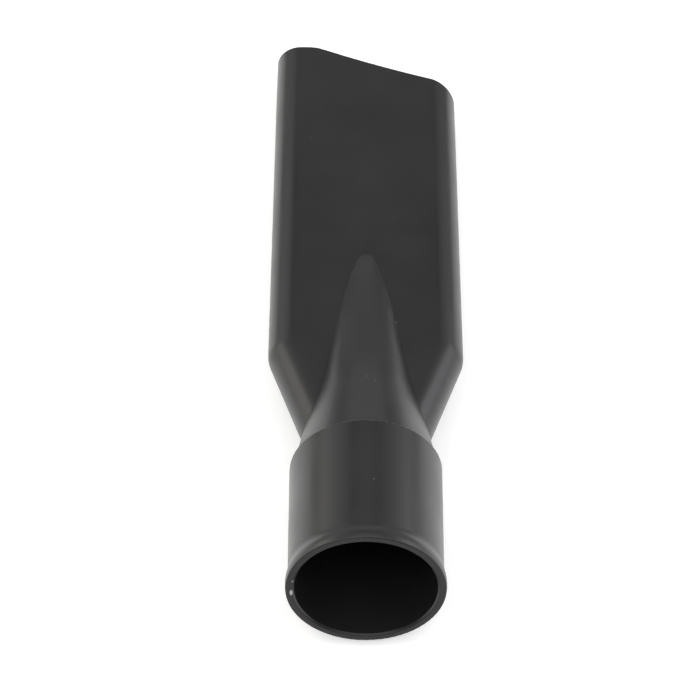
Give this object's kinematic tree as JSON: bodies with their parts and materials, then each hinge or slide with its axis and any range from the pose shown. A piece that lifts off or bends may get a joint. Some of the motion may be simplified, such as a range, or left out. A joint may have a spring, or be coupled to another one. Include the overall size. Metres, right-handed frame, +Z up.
{
  "type": "vacuum crevice nozzle",
  "caption": "Moulded plastic suction nozzle: a round push-on hose socket and a tapering cone that runs out in a flat slot whose mouth is cut square at one side and slants back at the other.",
  "frame": {"origin": "on the surface that the nozzle lies on, under the middle of its bounding box", "axes": "+Y from the round socket towards the flat mouth, +X to the right seen from the socket, +Z up; as the nozzle lies at rest, the socket's axis dips 4.6 degrees towards the mouth and the flat body leans 1.8 degrees to the right"},
  "size_m": [0.0554, 0.2154, 0.0453],
  "materials": {
    "plastic": "satin moulded black"
  },
  "bodies": {
    "root": {"nozzle": "plastic"}
  },
  "joints": []
}
